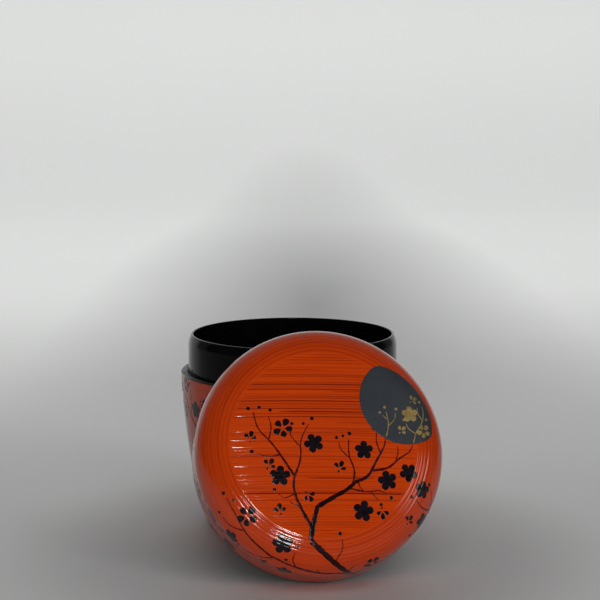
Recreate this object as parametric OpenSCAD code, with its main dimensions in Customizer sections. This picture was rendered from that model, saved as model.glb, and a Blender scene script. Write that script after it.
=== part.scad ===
// Lacquer tea caddy of the jujube form: a turned wooden cup with a collar, and a cap that fits over it.
// The cup stands on the table at the origin, +Z up. The cap is off, and leans on the cup's front, at -Y.

/* [Body] */
// Outside diameter where the body and the lid meet
caddy_d = 66; // [52:1:80]
// Height of the ledge that carries the lid, above the table
ledge_z = 46.5; // [38:0.5:60]
// Radius of the arc that bows the body's side
side_arc_r = 215; // [170:5:320]
// Height above the ledge at which that arc is widest
side_rise = 8; // [4:1:12]
// Radius of the rounded heel between the side and the base
heel_r = 8; // [6:0.5:14]
// Height of the bare foot below the coat
foot_h = 0.6; // [0.4:0.1:1.5]

/* [Collar] */
// Height of the collar above the ledge
collar_h = 11; // [7:0.5:14]
// Wall of the collar ring
collar_t = 1.5; // [1.4:0.1:2.2]
// Depth of the rebate that the collar ring is glued into
collar_seat = 6; // [3:0.5:10]
// Width of the ledge outside the collar
ledge_w = 2.2; // [1.7:0.1:3]
// How far the lip leans in
lip_in = 0.9; // [0.3:0.1:1]
// Height of the curve that leads up to the lip
lip_curve_h = 3; // [1:0.25:5]

/* [Lid] */
// Height of the lid along its axis
lid_h = 21.5; // [18:0.5:26]
// Radius of the rounded shoulder
shoulder_r = 9.5; // [5:0.5:11]
// Radius of the dome of the crown
crown_r = 200; // [130:10:400]
// Height of the bare rim edge
rim_band = 0.8; // [0.4:0.1:1.5]
// Clearance between the lid's bore and the collar
lid_fit = 0.2; // [0.1:0.05:0.3]

/* [Lacquer] */
// Thickness of the outer red coat
coat_t = 0.35; // [0.2:0.05:0.5]
// Thickness of the black lining
lining_t = 0.25; // [0.15:0.05:0.4]
// Bond line between one layer and the next
bond = 0.05; // [0.03:0.01:0.08]

/* [Moon] */
// Radius of the silver moon's round side
moon_r = 12.1; // [6:0.1:14]
// Radius of its flatter side, that lies on the shoulder
moon_edge_r = 18.4; // [15:0.2:24]
// Distance between the middles of those two arcs
moon_edge_in = 13.6; // [8:0.2:18]
// Turn of the flatter side away from the lid's rim
moon_tilt = 9; // [-30:1:30]
// Thickness of the silver layer
moon_t = 0.15; // [0.1:0.05:0.3]
// Distance of the moon's middle from the lid's axis
moon_out = 24.7; // [16:0.1:26]
// Turn of the moon round the lid, from the right-hand side upwards
moon_turn = 26; // [0:1:180]

/* [Leaning lid] */
// Angle by which the lid leans back from upright
lean = 27; // [20:0.5:36]
// Gap between the leaning lid and the body
lean_gap = 0.3; // [0.2:0.05:0.6]

/* [Hidden] */
$fn = 96;
arc_steps = 14;

caddy_r = caddy_d / 2;
core_in = coat_t + bond;
lining_out = lining_t + bond;

// Body: the side arc runs into the heel arc, and the heel arc into the base, without a crease
side_c = [caddy_r - sqrt(pow(side_arc_r, 2) - pow(side_rise, 2)), ledge_z + side_rise];
heel_z = foot_h + heel_r;
heel_c = [side_c.x + sqrt(pow(side_arc_r - heel_r, 2) - pow(side_c.y - heel_z, 2)), heel_z];
heel_end = atan2(heel_c.y - side_c.y, heel_c.x - side_c.x);

// Collar: its bore is flush with the finished inside of the body below it
collar_r = caddy_r - ledge_w;
collar_bore = collar_r - collar_t;
seat_z = ledge_z - collar_seat;
lip_z = ledge_z + collar_h;
lip_arc_r = (pow(lip_curve_h, 2) + pow(lip_in, 2)) / (2 * lip_in);
side_at_seat = side_c.x + sqrt(pow(side_arc_r, 2) - pow(side_c.y - seat_z, 2));
body_wall = side_at_seat - collar_bore;

// Lid: its bore slides over the collar, and the shoulder runs into the crown without a crease
lid_wall = ledge_w - lid_fit;
lid_bore = caddy_r - lid_wall;
crown_c = [0, lid_h - crown_r];
shoulder_x = caddy_r - shoulder_r;
shoulder_c = [shoulder_x, crown_c.y + sqrt(pow(crown_r - shoulder_r, 2) - pow(shoulder_x, 2))];
shoulder_end = atan2(shoulder_c.y - crown_c.y, shoulder_x);

// Points of an arc round c, from angle a0 to a1
function arc(c, r, a0, a1) =
    [for (i = [0:arc_steps]) let (a = a0 + (a1 - a0) * i / arc_steps) c + r * [cos(a), sin(a)]];

// The same list from its end to its start
function reversed(points) = [for (i = [len(points) - 1:-1:0]) points[i]];

// The list without its first point, where that one repeats the end of the curve before it
function after_first(points) = [for (i = [1:len(points) - 1]) points[i]];

// Body's outside, brought in by depth, from the edge of the base up to the height top
function body_curve(depth, top) = concat(
    arc(heel_c, heel_r - depth, -90, heel_end),
    after_first(arc(side_c, side_arc_r - depth, heel_end, asin((top - side_c.y) / (side_arc_r - depth)))));

// Collar's outside, from the ledge up to the lip
function collar_curve() = concat(
    [[collar_r, ledge_z]],
    arc([collar_r - lip_arc_r, lip_z - lip_curve_h], lip_arc_r, 0, asin(lip_curve_h / lip_arc_r)));

// Lid's outside, brought in by depth, from the height bottom up to the middle of the crown
function lid_curve(depth, bottom) = concat(
    [[caddy_r - depth, bottom]],
    arc(shoulder_c, shoulder_r - depth, 0, shoulder_end),
    after_first(arc(crown_c, crown_r - depth, shoulder_end, 90)));

// Leaning lid: the rim's edge stands on the table, and its top rests on the body. How far a round of
// the body, of radius p.x at height p.y, keeps the middle of the rim from the body's axis
lid_top_z = 2 * caddy_r * cos(lean);
function keeps_off(p) =
    let (up = min(p.y, lid_top_z) / cos(lean) - caddy_r)
    let (half_chord_sq = max(pow(lid_bore, 2) - pow(up, 2), 0))
    up * sin(lean) + sqrt(max(pow(p.x, 2) - half_chord_sq, 0));
rim_out = max([for (p = concat(body_curve(0, ledge_z), collar_curve())) keeps_off(p)])
    + lean_gap / cos(lean);

// Stands the lid, drawn upright on its rim, against the front of the body
module leaning() {
    translate([0, -rim_out, caddy_r * cos(lean)])
        rotate([90 - lean, 0, 0])
            children();
}

// Turned wooden cup, primed black, with the foot, the ledge and the rebate for the collar
module body_core() {
    foot_r = heel_c.x - bond;
    inside = body_wall - lining_out;
    color("#1b1614")
        rotate_extrude()
            polygon(concat(
                [[0, 0], [foot_r, 0], [foot_r, foot_h + core_in]],
                body_curve(core_in, ledge_z),
                [[collar_r + bond, ledge_z], [collar_r + bond, seat_z]],
                reversed(body_curve(inside, seat_z)),
                [[0, foot_h + inside]]));
}

// Vermilion coat over the outside of the cup
module body_coat() {
    color("#8c2a17")
        rotate_extrude()
            polygon(concat(body_curve(0, ledge_z), reversed(body_curve(coat_t, ledge_z))));
}

// Black lining over the inside of the cup, up to the collar
module body_lining() {
    top = seat_z - bond;
    color("#16110f")
        rotate_extrude()
            polygon(concat(
                [[0, foot_h + body_wall - lining_t]],
                body_curve(body_wall - lining_t, top),
                reversed(body_curve(body_wall, top)),
                [[0, foot_h + body_wall]]));
}

// Black ring let into the mouth of the cup
module collar() {
    foot_z = seat_z + bond;
    color("#120f0e")
        rotate_extrude()
            polygon(concat(
                [[collar_bore, foot_z], [collar_r, foot_z]],
                collar_curve(),
                [[collar_bore, lip_z]]));
}

// Turned wooden cap, primed black, with its bare rim edge
module lid_core() {
    inside = lid_wall - lining_out;
    color("#1b1614")
        leaning()
            rotate_extrude()
                polygon(concat(
                    [[caddy_r, 0], [caddy_r, rim_band]],
                    lid_curve(core_in, rim_band),
                    reversed(lid_curve(inside, 0))));
}

// Vermilion coat over the crown, the shoulder and the wall of the cap
module lid_coat() {
    bottom = rim_band + bond;
    color("#b5390f")
        leaning()
            rotate_extrude()
                polygon(concat(lid_curve(0, bottom), reversed(lid_curve(coat_t, bottom))));
}

// Black lining inside the cap
module lid_lining() {
    color("#16110f")
        leaning()
            rotate_extrude()
                polygon(concat(lid_curve(lid_wall - lining_t, 0), reversed(lid_curve(lid_wall, 0))));
}

// Moon of silver-dust lacquer, past its half, over the crown and the top of the shoulder
module moon() {
    bottom = rim_band + bond;
    color("#3c434a")
        leaning()
            intersection() {
                rotate_extrude()
                    polygon(concat(lid_curve(-bond - moon_t, bottom), reversed(lid_curve(-bond, bottom))));
                rotate([0, 0, moon_turn])
                    translate([moon_out, 0, 0])
                        moon_shape();
            }
}

// Upright prism with the moon's outline: the overlap of a round side and a flatter one
module moon_shape() {
    height = 2 * lid_h;
    intersection() {
        cylinder(r = moon_r, h = height);
        rotate([0, 0, moon_tilt])
            translate([-moon_edge_in, 0, 0])
                cylinder(r = moon_edge_r, h = height);
    }
}

body_core();
body_coat();
body_lining();
collar();
lid_core();
lid_coat();
lid_lining();
moon();
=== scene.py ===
"""Looks of a lacquer tea caddy: vermilion coats with the marks of the brush, a gloss black collar and
linings, a moon of silver dust, and plum twigs painted in black and in gold.

Lengths are in millimetres until a mesh is filled. The cup stands at the origin; the cap leans on its
front, where the frame has it. A place on the cap is its distance along the surface from the middle of
the crown and its turn round the cap's axis; a place on the cup is its drop below the ledge and its turn.
"""

import math

import bpy
import numpy as np
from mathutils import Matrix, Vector


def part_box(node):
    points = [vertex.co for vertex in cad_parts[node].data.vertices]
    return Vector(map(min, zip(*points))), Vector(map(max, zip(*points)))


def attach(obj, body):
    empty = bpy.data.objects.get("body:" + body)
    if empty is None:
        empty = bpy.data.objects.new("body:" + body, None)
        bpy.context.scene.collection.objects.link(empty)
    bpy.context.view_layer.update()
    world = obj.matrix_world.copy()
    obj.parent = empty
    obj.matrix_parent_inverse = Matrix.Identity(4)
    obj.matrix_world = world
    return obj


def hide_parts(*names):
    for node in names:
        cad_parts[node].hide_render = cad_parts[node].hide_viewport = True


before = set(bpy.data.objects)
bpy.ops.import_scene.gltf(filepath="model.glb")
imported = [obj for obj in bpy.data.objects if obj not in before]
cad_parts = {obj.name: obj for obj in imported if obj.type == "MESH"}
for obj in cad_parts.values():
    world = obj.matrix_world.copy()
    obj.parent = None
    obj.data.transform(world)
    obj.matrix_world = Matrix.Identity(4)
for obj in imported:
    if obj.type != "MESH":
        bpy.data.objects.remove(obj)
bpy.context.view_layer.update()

MM = 0.001
FULL_TURN = 2 * math.pi

# Sizes of the turned pieces, as the frame has them
CADDY_R = 33.0
LEDGE_Z = 46.5
SIDE_ARC_R = 215.0
SIDE_RISE = 8.0
HEEL_R = 8.0
FOOT_H = 0.6
COLLAR_H = 11.0
COLLAR_T = 1.5
COLLAR_SEAT = 6.0
LEDGE_W = 2.2
LIP_IN = 0.9
LIP_CURVE_H = 3.0
LID_H = 21.5
SHOULDER_R = 9.5
CROWN_R = 200.0
RIM_BAND = 0.8
LID_FIT = 0.2
COAT_T = 0.35
LINING_T = 0.25
BOND = 0.05
MOON_R = 12.1
MOON_EDGE_R = 18.4
MOON_EDGE_IN = 13.6
MOON_TILT = math.radians(9)
MOON_T = 0.15
MOON_OUT = 24.7
MOON_TURN = math.radians(26)
LEAN = math.radians(27)

# Cup: middles of the side arc and the heel arc, and the sizes that follow from them
CORE_IN = COAT_T + BOND
LINING_OUT = LINING_T + BOND
SIDE_C = np.array([CADDY_R - math.sqrt(SIDE_ARC_R**2 - SIDE_RISE**2), LEDGE_Z + SIDE_RISE])
HEEL_Z = FOOT_H + HEEL_R
HEEL_C = np.array([SIDE_C[0] + math.sqrt((SIDE_ARC_R - HEEL_R)**2 - (SIDE_C[1] - HEEL_Z)**2), HEEL_Z])
HEEL_END = math.atan2(HEEL_C[1] - SIDE_C[1], HEEL_C[0] - SIDE_C[0])
COLLAR_R = CADDY_R - LEDGE_W
COLLAR_BORE = COLLAR_R - COLLAR_T
SEAT_Z = LEDGE_Z - COLLAR_SEAT
LIP_Z = LEDGE_Z + COLLAR_H
LIP_ARC_R = (LIP_CURVE_H**2 + LIP_IN**2) / (2 * LIP_IN)
BODY_WALL = SIDE_C[0] + math.sqrt(SIDE_ARC_R**2 - (SIDE_C[1] - SEAT_Z)**2) - COLLAR_BORE

# Cap: middle of the shoulder arc, and the distances from the middle of the crown to each bend
LID_WALL = LEDGE_W - LID_FIT
SHOULDER_X = CADDY_R - SHOULDER_R
SHOULDER_Z = LID_H - CROWN_R + math.sqrt((CROWN_R - SHOULDER_R)**2 - SHOULDER_X**2)
CROWN_END = math.atan2(SHOULDER_X, SHOULDER_Z - (LID_H - CROWN_R))
S_RING = CROWN_R * CROWN_END
S_WALL = S_RING + SHOULDER_R * (math.pi / 2 - CROWN_END)
S_RIM = S_WALL + SHOULDER_Z
S_COAT_END = S_RIM - RIM_BAND - BOND

# Directions of the leaning cap, and the middle of its rim, found from the top of the rim in the frame
CAP_PLANE = np.array([[1.0, 0.0, 0.0], [0.0, math.sin(LEAN), math.cos(LEAN)]])
CAP_OUT = np.array([0.0, -math.cos(LEAN), math.sin(LEAN)])
RIM_TOP_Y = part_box("lid_core")[1].y / MM
RIM_MIDDLE = np.array([0.0, RIM_TOP_Y - CADDY_R * math.sin(LEAN), CADDY_R * math.cos(LEAN)])


# Surfaces

def unit(angle):
    """Unit vectors at angles in a plane."""
    return np.stack([np.cos(angle), np.sin(angle)], -1)


def all_round(count):
    """Equal steps of turn, once round."""
    return np.linspace(0, FULL_TURN, count, endpoint=False)


def upright(radius, height, turn):
    """Points round the upright axis of the cup."""
    return np.stack([radius * np.cos(turn), radius * np.sin(turn), height + 0.0 * turn], -1)


def cap_section(s, lift=0.0):
    """Radius and height on the cap's outline at distance s from the middle of the crown, lifted along
    the surface's normal: a large circle for the crown, a small one for the shoulder, then a straight wall."""
    s = np.asarray(s, float)
    on_crown = s < S_RING
    on_shoulder = np.minimum(CROWN_END + (s - S_RING) / SHOULDER_R, math.pi / 2)
    tilt = np.where(on_crown, s / CROWN_R, on_shoulder)
    reach = np.where(on_crown, CROWN_R, SHOULDER_R) + lift
    radius = np.where(on_crown, 0.0, SHOULDER_X) + reach * np.sin(tilt)
    height = np.where(on_crown, LID_H - CROWN_R, SHOULDER_Z) + reach * np.cos(tilt)
    return radius, height - np.maximum(s - S_WALL, 0.0)


def lean_cap(radius, height, turn):
    """Points of the leaning cap from a radius, a height over the rim and a turn round its axis."""
    return RIM_MIDDLE + radius[..., None] * (unit(turn) @ CAP_PLANE) + height[..., None] * CAP_OUT


def on_cap(s, turn, lift=0.0):
    """Points on the cap at distance s from the middle of the crown."""
    return lean_cap(*cap_section(s, lift), turn)


def on_cup(drop, turn, lift=0.0):
    """Points on the cup's side at a distance drop along it below the ledge: the side is one large arc,
    so the drop is an angle of that arc."""
    slope = math.asin(-SIDE_RISE / SIDE_ARC_R) - np.asarray(drop, float) / SIDE_ARC_R
    reach = SIDE_ARC_R + lift
    return upright(SIDE_C[0] + reach * np.cos(slope), SIDE_C[1] + reach * np.sin(slope), turn)


# Marks of the brush

# Strength of colour of a line: the least, the random part, the extra of a strong line and the share of those
LINE_DARK, LINE_VARIES, LINE_STRONG, STRONG_SHARE = 0.06, 0.22, 0.30, 0.14


def brush_lines(seed, across, ends, gap, depth, width, fade, through):
    """Lines of one brush stroke over the range across: each follows the last after a random gap, and has its
    own depth, width and strength of colour. A share of them, through, runs from end to end; the others
    start and stop somewhere between the two ends."""
    rng = np.random.default_rng(seed)
    low, high = across
    at = low + np.cumsum(rng.uniform(*gap, int((high - low) / gap[0]) + 1))
    at = at[at < high]
    count = len(at)
    whole = rng.random(count) < through
    start, stop = np.sort(rng.uniform(*ends, (2, count)), 0)
    far = 10 * (ends[1] - ends[0])
    dark = LINE_DARK + LINE_VARIES * rng.random(count) + LINE_STRONG * (rng.random(count) < STRONG_SHARE)
    return {
        "at": at,
        "depth": rng.uniform(*depth, count),
        "width": rng.uniform(*width, count),
        "start": np.where(whole, ends[0] - far, start),
        "stop": np.where(whole, ends[1] + far, stop),
        "fade": rng.uniform(*fade, count),
        "dark": dark,
    }


def marks(lines, across, along):
    """Height and darkness of brush lines: the sum over all lines of a bell across the line, times a soft
    step from the line's start to its stop. The dark is a narrower bell in the middle of the line."""
    bell = np.exp(-((across[..., None] - lines["at"]) / lines["width"])**2)
    run = 0.5 * (np.tanh((along[..., None] - lines["start"]) / lines["fade"])
                 - np.tanh((along[..., None] - lines["stop"]) / lines["fade"]))
    return (bell * run) @ -lines["depth"], (bell**2 * run) @ lines["dark"]


def smooth_step(low, high, value):
    """Rises from 0 at low to 1 at high, level at both ends."""
    t = np.clip((value - low) / (high - low), 0, 1)
    return t * t * (3 - 2 * t)


CROWN_LINES = brush_lines(41, (-26.0, 26.0), (-27.0, 27.0), gap=(0.48, 0.88), depth=(0.024, 0.068),
                          width=(0.20, 0.28), fade=(1.0, 4.0), through=0.62)
RING_LINES = brush_lines(15, (S_RING - 0.5, S_COAT_END), (0.0, FULL_TURN), gap=(0.95, 1.35),
                         depth=(0.080, 0.130), width=(0.29, 0.36), fade=(0.05, 0.3), through=0.85)
SIDE_LINES = brush_lines(42, (-1.0, 50.0), (0.0, FULL_TURN), gap=(0.5, 1.0), depth=(0.008, 0.028),
                         width=(0.20, 0.32), fade=(0.05, 0.3), through=0.4)

# Turn of the crown's stroke, where its lines end and those round the axis start, and where these flatten
CROWN_BRUSH_TURN = math.radians(-2.3)
CROWN_FADE, RING_FADE = (S_RING - 1.3, S_RING + 0.7), (S_RING - 0.4, S_RING + 0.7)
WALL_FADE, WALL_FLAT = (S_RING + 4.0, S_RING + 7.5), 0.86
# Darkness of the lines on each surface, and a painted shade that darkens the shoulder and wall between the
# lines
CROWN_DARK, RING_DARK, SHOULDER_PAINTED_SHADE, SIDE_DARK = 2.1, 0.45, 0.20, 0.5


def cap_marks(s, turn):
    """Height and darkness of the brush marks on the cap: straight lines over the crown, that end at the ring
    where the shoulder starts, and lines round the axis on the shoulder and wall. The darkness also holds a
    painted shade, even over the shoulder and wall."""
    crown, shoulder = 1 - smooth_step(*CROWN_FADE, s), smooth_step(*RING_FADE, s)
    off = turn - CROWN_BRUSH_TURN
    crown_depth, crown_dark = marks(CROWN_LINES, s * np.sin(off), s * np.cos(off))
    ring_depth, ring_dark = marks(RING_LINES, s, np.mod(turn - math.pi / 2, FULL_TURN))
    ring_depth = ring_depth * (1 - WALL_FLAT * smooth_step(*WALL_FADE, s))
    # The shoulder's term of the darkness adds a painted shade over the shoulder and wall.
    return (crown * crown_depth + shoulder * ring_depth,
            CROWN_DARK * crown * crown_dark + shoulder * (SHOULDER_PAINTED_SHADE + RING_DARK * ring_dark))


def cup_marks(drop, turn):
    """Height and darkness of the brush marks round the cup's side."""
    depth, dark = marks(SIDE_LINES, drop, np.mod(turn - math.pi / 2, FULL_TURN))
    return depth, SIDE_DARK * dark


# Meshes

def grid_faces(rows, columns, first=0, close_rows=False, close_columns=True):
    """Corner numbers of the four-sided faces over a grid of points, joined round where it closes."""
    i = np.arange(rows if close_rows else rows - 1)[:, None]
    j = np.arange(columns if close_columns else columns - 1)[None, :]
    i2, j2 = (i + 1) % rows, (j + 1) % columns
    corners = [i * columns + j, i * columns + j2, i2 * columns + j2, i2 * columns + j]
    return first + np.stack([c + 0 * (i + j) for c in corners], -1).reshape(-1, 4)


def fan_faces(pole, ring):
    """Corner numbers of the triangles between a pole and a closed ring of points."""
    return np.stack([np.full(len(ring), pole), ring, np.roll(ring, -1)], -1)


def closed_faces(rings, steps):
    """Faces over a grid of rings and the two poles that close its first and its last ring. The poles come
    after the grid."""
    ring, poles = np.arange(steps), rings * steps
    return [grid_faces(rings, steps), fan_faces(poles, ring)[:, ::-1],
            fan_faces(poles + 1, (rings - 1) * steps + ring)]


def joined(parts):
    """One mesh from parts, each its points and its arrays of faces: the numbers in the faces move on by the
    count of the points before them."""
    starts = np.cumsum([0] + [len(points) for points, _ in parts])
    return (np.concatenate([points for points, _ in parts]),
            [array + start for start, (_, faces) in zip(starts, parts) for array in faces])


def volume(points, faces):
    """Signed volume inside a closed mesh: the sum of the volumes between the origin and each triangle."""
    total = 0.0
    for size in {len(f) for f in faces}:
        a, *others = points[np.array([f for f in faces if len(f) == size])].swapaxes(0, 1)
        for b, c in zip(others, others[1:]):
            total += np.einsum("ij,ij->", a, np.cross(b, c))
    return total / 6


def new_object(name, points, faces, material):
    """An object with smooth shading at the origin, from points in metres and lists of corner numbers."""
    mesh = bpy.data.meshes.new(name)
    mesh.from_pydata(points.tolist(), [], faces)
    mesh.polygons.foreach_set("use_smooth", np.ones(len(mesh.polygons), bool))
    mesh.materials.append(material)
    thing = bpy.data.objects.new(name, mesh)
    bpy.context.scene.collection.objects.link(thing)
    return thing


def make_piece(name, points, faces, material, body, slot=None, replaces=None, uv=None, values=None):
    """One piece of the object: fills a mesh with points and arrays of closed faces, turns the faces outwards
    by the sign of the volume inside them, and lets the piece ride on its body. uv has the places of each
    face's corners on the brush stroke, and values has a number for each point."""
    points = np.reshape(points, (-1, 3))
    faces = [f for array in faces for f in array.tolist()]
    if volume(points, faces) < 0:
        faces = [f[::-1] for f in faces]
        uv = None if uv is None else [u[::-1] for u in uv]
    piece = new_object(name, points * MM, faces, material)
    mesh = piece.data
    if uv is not None:
        layer = mesh.uv_layers.new(name="brush")
        layer.data.foreach_set("uv", np.concatenate([np.ravel(u) for u in uv]).astype(np.float32))
    for key, value in (values or {}).items():
        attribute = mesh.attributes.new(key, "FLOAT", "POINT")
        attribute.data.foreach_set("value", np.ravel(value).astype(np.float32))
    mesh.update()
    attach(piece, body)
    if replaces:
        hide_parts(replaces)


def arc(middle, radius, start, stop, steps):
    """Points of an arc round a middle, from one angle to another."""
    return middle + radius * unit(np.linspace(start, stop, steps))


def eased(points, ease):
    """An outline with some of its corners rounded, by their numbers: each becomes a short curve that starts
    and ends that far from the corner, the parabola with the corner as its middle control point."""
    t = np.linspace(0, 1, 7)[:, None]
    out = list(points[:, None])
    for k, length in ease.items():
        p, before, after = points[k], points[k - 1], points[(k + 1) % len(points)]
        start, stop = (p + (q - p) / np.linalg.norm(q - p) * length for q in (before, after))
        out[k] = (1 - t)**2 * start + 2 * t * (1 - t) * p + t**2 * stop
    return np.concatenate(out)


def fine_steps(outline, step):
    """An outline with long stretches cut into equal lengths of at most one step."""
    ends = np.roll(outline, -1, 0)
    cuts = np.maximum(np.ceil(np.linalg.norm(ends - outline, axis=1) / step).astype(int), 1)
    return np.concatenate([a + (b - a) * np.linspace(0, 1, n, endpoint=False)[:, None]
                           for a, b, n in zip(outline, ends, cuts)])


def turned(outline, place, turns=256):
    """A ring-shaped piece: a closed outline of radius and height, carried round an axis."""
    turn = all_round(turns) + 0 * outline[:, :1]
    radius, height = outline[:, :1] + 0 * turn, outline[:, 1:] + 0 * turn
    return place(radius, height, turn), [grid_faces(len(outline), turns, close_rows=True)]


def turned_bowl(outline, place, turns=256):
    """A bowl-shaped piece: an outline that starts and ends on the axis, carried round it, with one point
    at each pole."""
    rings, _ = turned(outline[1:-1], place, turns)
    poles = place(outline[[0, -1], 0], outline[[0, -1], 1], np.zeros(2))
    return np.concatenate([rings.reshape(-1, 3), poles]), closed_faces(len(rings), turns)


def cup_curve(depth, top, steps=(24, 40)):
    """The cup's outside, brought in by depth, from the edge of the base up to a height: the heel arc and
    then the side arc."""
    side_r = SIDE_ARC_R - depth
    heel = arc(HEEL_C, HEEL_R - depth, -math.pi / 2, HEEL_END, steps[0])
    side = arc(SIDE_C, side_r, HEEL_END, math.asin((top - SIDE_C[1]) / side_r), steps[1])
    return np.concatenate([heel, side[1:]])


def cap_curve(depth, s_end, steps=(30, 26, 12)):
    """The cap's outside, brought in by depth, from the middle of the crown to a distance s."""
    s = np.concatenate([np.linspace(0, S_RING, steps[0]), np.linspace(S_RING, S_WALL, steps[1])[1:],
                        np.linspace(S_WALL, s_end, steps[2])[1:]])
    return np.stack(cap_section(s, -depth), -1)


# Materials

def material_of(name, look):
    """A new material, whose Principled shader gets the sockets of a look. The look is called with a function
    that adds a node, its inputs set or linked, and with the point's place on its piece."""
    material = bpy.data.materials.new(name)
    material.use_nodes = True
    tree = material.node_tree

    def fill(node, inputs):
        for key, value in inputs.items():
            if isinstance(value, bpy.types.NodeSocket):
                tree.links.new(value, node.inputs[key])
            else:
                node.inputs[key].default_value = value

    def add(kind, inputs=None, **settings):
        node = tree.nodes.new(kind)
        for key, value in settings.items():
            setattr(node, key, value)
        fill(node, inputs or {})
        return node

    place = add("ShaderNodeTexCoord").outputs["Object"]
    fill(tree.nodes["Principled BSDF"], look(add, place))
    return material


def ramp(add, factor, stops):
    """A colour ramp from a list of places and colours."""
    node = add("ShaderNodeValToRGB", {0: factor})
    elements = node.color_ramp.elements
    while len(elements) < len(stops):
        elements.new(0.5)
    for element, (place, colour) in zip(elements, stops):
        element.position = place
        element.color = (*colour, 1)
    return node.outputs[0]


def noise(add, vector, scale, detail=2.0, rough=0.5):
    """Soft noise of a given scale over a set of coordinates."""
    inputs = {"Vector": vector, "Scale": scale, "Detail": detail, "Roughness": rough}
    return add("ShaderNodeTexNoise", inputs).outputs[0]


def stretched(add, vector, scale):
    """Coordinates with a scale of their own along each axis."""
    return add("ShaderNodeMapping", {"Vector": vector, "Scale": scale}).outputs[0]


def spread(add, value, low, high, start=0.0, stop=1.0, kind="LINEAR"):
    """A value from start to stop brought to the range low to high."""
    inputs = {0: value, 1: start, 2: stop, 3: low, 4: high}
    return add("ShaderNodeMapRange", inputs, interpolation_type=kind).outputs[0]


def calc(add, operation, *values):
    """One sum, product or other calculation with numbers."""
    return add("ShaderNodeMath", dict(enumerate(values)), operation=operation).outputs[0]


def sum_of(add, a, b, share=1.0):
    """a plus a share of b."""
    return calc(add, "MULTIPLY_ADD", b, share, a)


def bump(add, height, depth):
    """A bump of a given depth in metres."""
    return add("ShaderNodeBump", {"Height": height, "Distance": depth, "Strength": 1.0}).outputs[0]


def point_value(add, name):
    """The number that the mesh has for each point."""
    return add("ShaderNodeAttribute", attribute_name=name).outputs["Fac"]


def red_lacquer(add, place):
    """Vermilion lacquer, laid on with a stiff brush: darker in the marks, full and orange between them, with
    finer bristle lines along the stroke and a high gloss. The darkness that each point carries holds the
    brush lines and also painted shade over the cap's shoulder and wall and over the whole cup."""
    stroke = add("ShaderNodeUVMap", uv_map="brush").outputs[0]
    bristle = noise(add, stretched(add, stroke, (0.03, 1.45, 1.0)), 1.0, 3.0, 0.6)
    cloud = noise(add, place, 55.0, 3.0)
    grain = noise(add, place, 2600.0, 1.0)
    # The point's value darkens the colour: brush lines, and painted shade on the cap's shoulder and wall and
    # on the cup.
    tone = sum_of(add, sum_of(add, point_value(add, "streak_and_shade"), bristle, 0.56), cloud, 0.22)
    colour = ramp(add, spread(add, tone, 0.0, 1.0, 0.24, 2.24), [
        (0.05, (0.565, 0.049, 0.0004)), (0.20, (0.460, 0.0355, 0.0003)),
        (0.38, (0.300, 0.021, 0.0004)), (0.56, (0.140, 0.009, 0.0006)), (0.85, (0.008, 0.004, 0.004))])
    rough = spread(add, sum_of(add, bristle, cloud, 0.5), 0.05, 0.10, 0.3, 1.1)
    return {"Base Color": colour, "Roughness": rough, "IOR": 1.5, "Specular IOR Level": 0.5,
            "Normal": bump(add, sum_of(add, bristle, grain, 0.08), 0.000014)}


def black_lacquer(add, place):
    """Polished black lacquer: near black, with soft waves left by the polishing and faint fine scratches."""
    wave = noise(add, place, 130.0, 2.0)
    scratch = noise(add, stretched(add, place, (500.0, 500.0, 5200.0)), 1.0, 2.0)
    colour = ramp(add, wave, [(0.3, (0.0012, 0.0013, 0.0022)), (0.7, (0.0028, 0.0027, 0.0034))])
    return {"Base Color": colour, "Roughness": spread(add, scratch, 0.05, 0.11, 0.3, 0.8), "IOR": 1.52,
            "Specular IOR Level": 0.09, "Normal": bump(add, sum_of(add, wave, scratch, 0.05), 0.00002)}


def primed_wood(add, place):
    """Turned wood under a thin black primer: satin, with open pores along the grain and soft clouds."""
    pores = noise(add, stretched(add, place, (900.0, 900.0, 190.0)), 1.0, 3.0, 0.65)
    colour = ramp(add, sum_of(add, pores, noise(add, place, 90.0, 2.0), 0.4), [
        (0.35, (0.006, 0.0042, 0.0034)), (0.95, (0.024, 0.015, 0.011))])
    return {"Base Color": colour, "Roughness": spread(add, pores, 0.28, 0.5, 0.3, 0.75), "IOR": 1.5,
            "Specular IOR Level": 0.35, "Normal": bump(add, pores, 0.00002)}


def grainy(grain, tone, stops, gloss, relief, sockets):
    """The look of a fine grain, a noise of some scale, detail and roughness. The colour follows the tone,
    that is made from the grain and the point's place; the gloss and a slight relief follow the grain."""
    def look(add, place):
        fine = noise(add, place, *grain)
        return {"Base Color": ramp(add, tone(add, place, fine), stops), "IOR": 1.5, **sockets,
                "Normal": bump(add, fine, relief), "Roughness": spread(add, fine, *gloss, 0.3, 0.7)}
    return look


RED, BLACK = material_of("red_lacquer", red_lacquer), material_of("black_lacquer", black_lacquer)
WOOD = material_of("primed_wood", primed_wood)
# Silver dust in lacquer, darkened to a blue grey: grains that catch the light, and soft clouds
SILVER = material_of("silver_dust", grainy(
    (5200.0, 2.0, 0.7),
    lambda add, place, grain: sum_of(add, noise(add, place, 70.0, 3.0), grain, 0.35),
    [(0.35, (0.026, 0.031, 0.038)), (0.65, (0.036, 0.041, 0.049)), (0.95, (0.055, 0.060, 0.066))],
    (0.3, 0.46), 0.000005, {"Metallic": 0.1, "Specular IOR Level": 0.25}))
# Gold dust sprinkled on wet lacquer: grainy, and olive where it is thin and the ground shows
GOLD = material_of("gold_dust", grainy(
    (4200.0, 3.0, 0.7),
    lambda add, place, grain: sum_of(add, grain, noise(add, place, 700.0, 2.0), 0.6),
    [(0.45, (0.080, 0.062, 0.024)), (0.75, (0.255, 0.170, 0.048)), (1.0, (0.420, 0.300, 0.100))],
    (0.32, 0.6), 0.00001, {"Metallic": 0.3}))
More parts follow.
